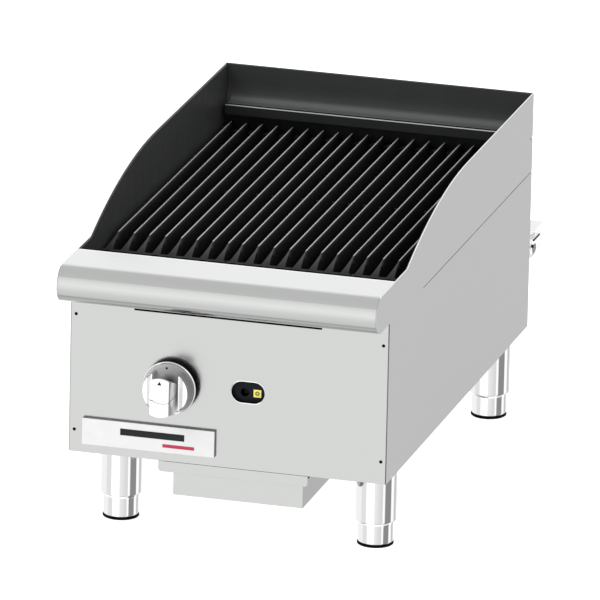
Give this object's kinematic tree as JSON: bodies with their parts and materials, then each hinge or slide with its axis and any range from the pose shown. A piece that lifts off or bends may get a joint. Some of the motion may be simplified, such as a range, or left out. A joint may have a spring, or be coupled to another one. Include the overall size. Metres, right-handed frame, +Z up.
{
  "type": "countertop gas charbroiler",
  "caption": "Countertop gas charbroiler with curved splash guards, bull-nose shelf, cast ribbed grates, control knob, slide-out drip tray and adjustable legs.",
  "frame": {"origin": "bottom centre of the bounding box, on the surface the feet stand on", "axes": "+X to the right seen from the front, +Y to the rear, +Z up"},
  "size_m": [0.381, 0.805, 0.3926],
  "materials": {
    "stainless": "brushed stainless sheet",
    "black_enamel": "black heat-resistant enamel, satin",
    "galvanised": "aluminised sheet steel",
    "cast_iron": "seasoned cast iron, fine grain",
    "chrome": "polished chrome plate",
    "rubber": "matt black rubber",
    "pipe_black": "black iron pipe",
    "die_cast": "die-cast aluminium, slightly rough",
    "brass": "machined brass",
    "plate_white": "white anodised plate",
    "mark_dark": "black printed or painted mark",
    "tag_yellow": "yellow enamelled tag"
  },
  "bodies": {
    "grill_body": {"back_panel": "stainless", "back_splash_liner": "black_enamel", "bottom_pan": "galvanised", "burner": "stainless", "burner_brackets": "galvanised", "burner_orifice": "brass", "firebox_front_wall": "black_enamel", "firebox_rear_wall": "black_enamel", "front_panel": "stainless", "front_panel_screws": "mark_dark", "front_shelf": "stainless", "inlet_nipple": "pipe_black", "left_grease_chute": "galvanised", "left_side_panel": "stainless", "left_splash_liner": "black_enamel", "left_tray_rail": "galvanised", "leg_bolts": "galvanised", "leg_plates": "galvanised", "leg_tubes": "chrome", "manifold_cap": "pipe_black", "manifold_pipe": "pipe_black", "nameplate": "plate_white", "nameplate_stripes": "mark_dark", "pilot_burner": "brass", "pilot_shield": "black_enamel", "pilot_tag": "tag_yellow", "pilot_tube": "die_cast", "pilot_valve": "brass", "pipe_elbows": "pipe_black", "radiant_rails": "galvanised", "radiants": "stainless", "rear_ledge": "black_enamel", "regulator_body": "die_cast", "regulator_bonnet": "die_cast", "regulator_cap": "die_cast", "right_grease_chute": "galvanised", "right_side_panel": "stainless", "right_splash_liner": "black_enamel", "right_tray_rail": "galvanised", "supply_pipe": "pipe_black", "valve_body": "brass"},
    "knob": {"valve_stem": "brass", "knob_skirt": "chrome", "knob_grip": "chrome", "knob_marks": "mark_dark"},
    "drip_tray": {"drip_tray": "stainless", "drip_tray_lip": "stainless"},
    "left_grate": {"left_grate": "cast_iron"},
    "middle_grate": {"middle_grate": "cast_iron"},
    "right_grate": {"right_grate": "cast_iron"},
    "air_shutter": {"air_shutter": "galvanised"},
    "pilot_screw": {"pilot_screw": "pipe_black"},
    "foot_front_left": {"foot_front_left": "chrome", "foot_pad_front_left": "rubber"},
    "foot_front_right": {"foot_front_right": "chrome", "foot_pad_front_right": "rubber"},
    "foot_rear_left": {"foot_rear_left": "chrome", "foot_pad_rear_left": "rubber"},
    "foot_rear_right": {"foot_rear_right": "chrome", "foot_pad_rear_right": "rubber"}
  },
  "joints": [
    {"name": "knob_turn", "type": "hinge", "parent": "grill_body", "child": "knob", "pos_m": [-0.0678, -0.3625, 0.1936], "axis": [0, -1, 0], "range_deg": [0, 90]},
    {"name": "drip_tray_slide", "type": "slide", "parent": "grill_body", "child": "drip_tray", "axis": [0, -1, 0], "range_m": [0, 0.45]},
    {"name": "left_grate_lift", "type": "hinge", "parent": "grill_body", "child": "left_grate", "pos_m": [0, 0.2875, 0.2976], "axis": [-1, 0, 0], "range_deg": [0, 20]},
    {"name": "middle_grate_lift", "type": "hinge", "parent": "grill_body", "child": "middle_grate", "pos_m": [0, 0.2875, 0.2976], "axis": [-1, 0, 0], "range_deg": [0, 20]},
    {"name": "right_grate_lift", "type": "hinge", "parent": "grill_body", "child": "right_grate", "pos_m": [0, 0.2875, 0.2976], "axis": [-1, 0, 0], "range_deg": [0, 20]},
    {"name": "foot_front_left_screw", "type": "slide", "parent": "grill_body", "child": "foot_front_left", "axis": [0, 0, -1], "range_m": [0, 0.02]},
    {"name": "foot_front_right_screw", "type": "slide", "parent": "grill_body", "child": "foot_front_right", "axis": [0, 0, -1], "range_m": [0, 0.02]},
    {"name": "foot_rear_left_screw", "type": "slide", "parent": "grill_body", "child": "foot_rear_left", "axis": [0, 0, -1], "range_m": [0, 0.02]},
    {"name": "foot_rear_right_screw", "type": "slide", "parent": "grill_body", "child": "foot_rear_right", "axis": [0, 0, -1], "range_m": [0, 0.02]},
    {"name": "air_shutter_turn", "type": "hinge", "parent": "grill_body", "child": "air_shutter", "pos_m": [-0.0678, -0.2545, 0.1936], "axis": [0, 1, 0], "range_deg": [0, 60]},
    {"name": "pilot_screw_turn", "type": "hinge", "parent": "grill_body", "child": "pilot_screw", "pos_m": [0.0183, -0.3125, 0.1929], "axis": [0, -1, 0], "range_deg": [-180, 180]}
  ]
}
